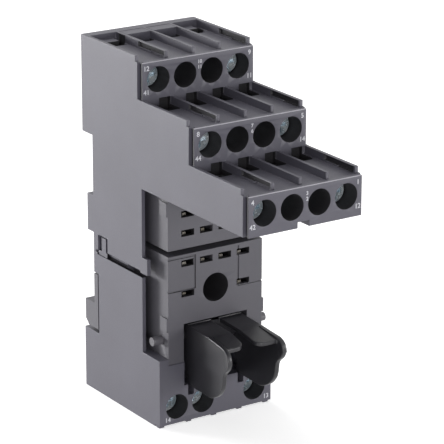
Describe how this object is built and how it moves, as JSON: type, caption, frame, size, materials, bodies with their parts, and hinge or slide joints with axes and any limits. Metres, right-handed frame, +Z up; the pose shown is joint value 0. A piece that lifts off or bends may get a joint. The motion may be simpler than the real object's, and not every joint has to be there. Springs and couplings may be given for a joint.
{
  "type": "relay socket",
  "caption": "Plug-in relay socket for a 35 mm rail: stepped tiers of screw terminals above a slotted relay seat, an ejector lever and a coil terminal block below.",
  "frame": {"origin": "middle of the width, on the plane of the back, at the height the socket stands on", "axes": "+X to the right seen from the front, -Y to the front, +Z up along the socket's height"},
  "size_m": [0.027, 0.0597, 0.0757],
  "materials": {
    "housing_plastic": "fine moulded matt",
    "seat_plastic": "fine moulded matt",
    "latch_plastic": "moulded",
    "lever_plastic": "moulded, slightly smoother",
    "axle_plastic": "moulded",
    "contact_brass": "stamped, tinned",
    "screw_steel": "zinc plated",
    "clamp_steel": "zinc plated"
  },
  "bodies": {
    "socket": {"upper_housing": "housing_plastic", "upper_seat": "seat_plastic", "lower_seat": "seat_plastic", "lower_housing": "housing_plastic", "lever_axle": "axle_plastic", "strip_common_1": "contact_brass", "strip_common_2": "contact_brass", "strip_common_3": "contact_brass", "strip_common_4": "contact_brass", "strip_make_1": "contact_brass", "strip_make_2": "contact_brass", "strip_make_3": "contact_brass", "strip_make_4": "contact_brass", "strip_break_1": "contact_brass", "strip_break_2": "contact_brass", "strip_break_3": "contact_brass", "strip_break_4": "contact_brass", "strip_coil_a1": "contact_brass", "strip_coil_a2": "contact_brass"},
    "latch": {"rail_latch": "latch_plastic"},
    "lever": {"ejector_lever": "lever_plastic"},
    "screw_common_1": {"screw_common_1": "screw_steel"},
    "clamp_common_1": {"clamp_common_1": "clamp_steel"},
    "screw_common_2": {"screw_common_2": "screw_steel"},
    "clamp_common_2": {"clamp_common_2": "clamp_steel"},
    "screw_common_3": {"screw_common_3": "screw_steel"},
    "clamp_common_3": {"clamp_common_3": "clamp_steel"},
    "screw_common_4": {"screw_common_4": "screw_steel"},
    "clamp_common_4": {"clamp_common_4": "clamp_steel"},
    "screw_make_1": {"screw_make_1": "screw_steel"},
    "clamp_make_1": {"clamp_make_1": "clamp_steel"},
    "screw_make_2": {"screw_make_2": "screw_steel"},
    "clamp_make_2": {"clamp_make_2": "clamp_steel"},
    "screw_make_3": {"screw_make_3": "screw_steel"},
    "clamp_make_3": {"clamp_make_3": "clamp_steel"},
    "screw_make_4": {"screw_make_4": "screw_steel"},
    "clamp_make_4": {"clamp_make_4": "clamp_steel"},
    "screw_break_1": {"screw_break_1": "screw_steel"},
    "clamp_break_1": {"clamp_break_1": "clamp_steel"},
    "screw_break_2": {"screw_break_2": "screw_steel"},
    "clamp_break_2": {"clamp_break_2": "clamp_steel"},
    "screw_break_3": {"screw_break_3": "screw_steel"},
    "clamp_break_3": {"clamp_break_3": "clamp_steel"},
    "screw_break_4": {"screw_break_4": "screw_steel"},
    "clamp_break_4": {"clamp_break_4": "clamp_steel"},
    "screw_coil_1": {"screw_coil_1": "screw_steel"},
    "clamp_coil_1": {"clamp_coil_1": "clamp_steel"},
    "screw_coil_2": {"screw_coil_2": "screw_steel"},
    "clamp_coil_2": {"clamp_coil_2": "clamp_steel"},
    "screw_coil_3": {"screw_coil_3": "screw_steel"},
    "clamp_coil_3": {"clamp_coil_3": "clamp_steel"}
  },
  "joints": [
    {"name": "latch_slide", "type": "slide", "parent": "socket", "child": "latch", "axis": [0, 0, -1], "range_m": [0, 0.0006], "stiffness_N_per_m": 150, "springref_m": -0.0002},
    {"name": "lever_hinge", "type": "hinge", "parent": "socket", "child": "lever", "pos_m": [0, -0.02625, 0.0179], "axis": [1, 0, 0], "range_deg": [0, 20]},
    {"name": "common_1_turn", "type": "hinge", "parent": "socket", "child": "screw_common_1", "pos_m": [-0.00937, -0.0073, 0.0708], "axis": [0, 1, 0], "range_deg": [0, 1080]},
    {"name": "common_1_clamp", "type": "slide", "parent": "socket", "child": "clamp_common_1", "axis": [0, -1, 0], "range_m": [0, 0.0015]},
    {"name": "common_2_turn", "type": "hinge", "parent": "socket", "child": "screw_common_2", "pos_m": [-0.00313, -0.0073, 0.0708], "axis": [0, 1, 0], "range_deg": [0, 1080]},
    {"name": "common_2_clamp", "type": "slide", "parent": "socket", "child": "clamp_common_2", "axis": [0, -1, 0], "range_m": [0, 0.0015]},
    {"name": "common_3_turn", "type": "hinge", "parent": "socket", "child": "screw_common_3", "pos_m": [0.00313, -0.0073, 0.0708], "axis": [0, 1, 0], "range_deg": [0, 1080]},
    {"name": "common_3_clamp", "type": "slide", "parent": "socket", "child": "clamp_common_3", "axis": [0, -1, 0], "range_m": [0, 0.0015]},
    {"name": "common_4_turn", "type": "hinge", "parent": "socket", "child": "screw_common_4", "pos_m": [0.00937, -0.0073, 0.0708], "axis": [0, 1, 0], "range_deg": [0, 1080]},
    {"name": "common_4_clamp", "type": "slide", "parent": "socket", "child": "clamp_common_4", "axis": [0, -1, 0], "range_m": [0, 0.0015]},
    {"name": "make_1_turn", "type": "hinge", "parent": "socket", "child": "screw_make_1", "pos_m": [-0.00937, -0.0269, 0.0621], "axis": [0, 1, 0], "range_deg": [0, 1080]},
    {"name": "make_1_clamp", "type": "slide", "parent": "socket", "child": "clamp_make_1", "axis": [0, -1, 0], "range_m": [0, 0.0015]},
    {"name": "make_2_turn", "type": "hinge", "parent": "socket", "child": "screw_make_2", "pos_m": [-0.00313, -0.0269, 0.0621], "axis": [0, 1, 0], "range_deg": [0, 1080]},
    {"name": "make_2_clamp", "type": "slide", "parent": "socket", "child": "clamp_make_2", "axis": [0, -1, 0], "range_m": [0, 0.0015]},
    {"name": "make_3_turn", "type": "hinge", "parent": "socket", "child": "screw_make_3", "pos_m": [0.00313, -0.0269, 0.0621], "axis": [0, 1, 0], "range_deg": [0, 1080]},
    {"name": "make_3_clamp", "type": "slide", "parent": "socket", "child": "clamp_make_3", "axis": [0, -1, 0], "range_m": [0, 0.0015]},
    {"name": "make_4_turn", "type": "hinge", "parent": "socket", "child": "screw_make_4", "pos_m": [0.00937, -0.0269, 0.0621], "axis": [0, 1, 0], "range_deg": [0, 1080]},
    {"name": "make_4_clamp", "type": "slide", "parent": "socket", "child": "clamp_make_4", "axis": [0, -1, 0], "range_m": [0, 0.0015]},
    {"name": "break_1_turn", "type": "hinge", "parent": "socket", "child": "screw_break_1", "pos_m": [-0.00937, -0.0454, 0.0534], "axis": [0, 1, 0], "range_deg": [0, 1080]},
    {"name": "break_1_clamp", "type": "slide", "parent": "socket", "child": "clamp_break_1", "axis": [0, -1, 0], "range_m": [0, 0.0015]},
    {"name": "break_2_turn", "type": "hinge", "parent": "socket", "child": "screw_break_2", "pos_m": [-0.00313, -0.0454, 0.0534], "axis": [0, 1, 0], "range_deg": [0, 1080]},
    {"name": "break_2_clamp", "type": "slide", "parent": "socket", "child": "clamp_break_2", "axis": [0, -1, 0], "range_m": [0, 0.0015]},
    {"name": "break_3_turn", "type": "hinge", "parent": "socket", "child": "screw_break_3", "pos_m": [0.00313, -0.0454, 0.0534], "axis": [0, 1, 0], "range_deg": [0, 1080]},
    {"name": "break_3_clamp", "type": "slide", "parent": "socket", "child": "clamp_break_3", "axis": [0, -1, 0], "range_m": [0, 0.0015]},
    {"name": "break_4_turn", "type": "hinge", "parent": "socket", "child": "screw_break_4", "pos_m": [0.00937, -0.0454, 0.0534], "axis": [0, 1, 0], "range_deg": [0, 1080]},
    {"name": "break_4_clamp", "type": "slide", "parent": "socket", "child": "clamp_break_4", "axis": [0, -1, 0], "range_m": [0, 0.0015]},
    {"name": "coil_1_turn", "type": "hinge", "parent": "socket", "child": "screw_coil_1", "pos_m": [-0.00937, -0.0148, 0.004], "axis": [0, 1, 0], "range_deg": [0, 1080]},
    {"name": "coil_1_clamp", "type": "slide", "parent": "socket", "child": "clamp_coil_1", "axis": [0, -1, 0], "range_m": [0, 0.0015]},
    {"name": "coil_2_turn", "type": "hinge", "parent": "socket", "child": "screw_coil_2", "pos_m": [-0.00313, -0.0148, 0.004], "axis": [0, 1, 0], "range_deg": [0, 1080]},
    {"name": "coil_2_clamp", "type": "slide", "parent": "socket", "child": "clamp_coil_2", "axis": [0, -1, 0], "range_m": [0, 0.0015]},
    {"name": "coil_3_turn", "type": "hinge", "parent": "socket", "child": "screw_coil_3", "pos_m": [0.00937, -0.0148, 0.004], "axis": [0, 1, 0], "range_deg": [0, 1080]},
    {"name": "coil_3_clamp", "type": "slide", "parent": "socket", "child": "clamp_coil_3", "axis": [0, -1, 0], "range_m": [0, 0.0015]}
  ],
  "couplings": [
    {"joint": "common_1_turn", "follows": "common_1_clamp", "rad_per_m": 12566},
    {"joint": "common_2_turn", "follows": "common_2_clamp", "rad_per_m": 12566},
    {"joint": "common_3_turn", "follows": "common_3_clamp", "rad_per_m": 12566},
    {"joint": "common_4_turn", "follows": "common_4_clamp", "rad_per_m": 12566},
    {"joint": "make_1_turn", "follows": "make_1_clamp", "rad_per_m": 12566},
    {"joint": "make_2_turn", "follows": "make_2_clamp", "rad_per_m": 12566},
    {"joint": "make_3_turn", "follows": "make_3_clamp", "rad_per_m": 12566},
    {"joint": "make_4_turn", "follows": "make_4_clamp", "rad_per_m": 12566},
    {"joint": "break_1_turn", "follows": "break_1_clamp", "rad_per_m": 12566},
    {"joint": "break_2_turn", "follows": "break_2_clamp", "rad_per_m": 12566},
    {"joint": "break_3_turn", "follows": "break_3_clamp", "rad_per_m": 12566},
    {"joint": "break_4_turn", "follows": "break_4_clamp", "rad_per_m": 12566},
    {"joint": "coil_1_turn", "follows": "coil_1_clamp", "rad_per_m": 12566},
    {"joint": "coil_2_turn", "follows": "coil_2_clamp", "rad_per_m": 12566},
    {"joint": "coil_3_turn", "follows": "coil_3_clamp", "rad_per_m": 12566}
  ]
}
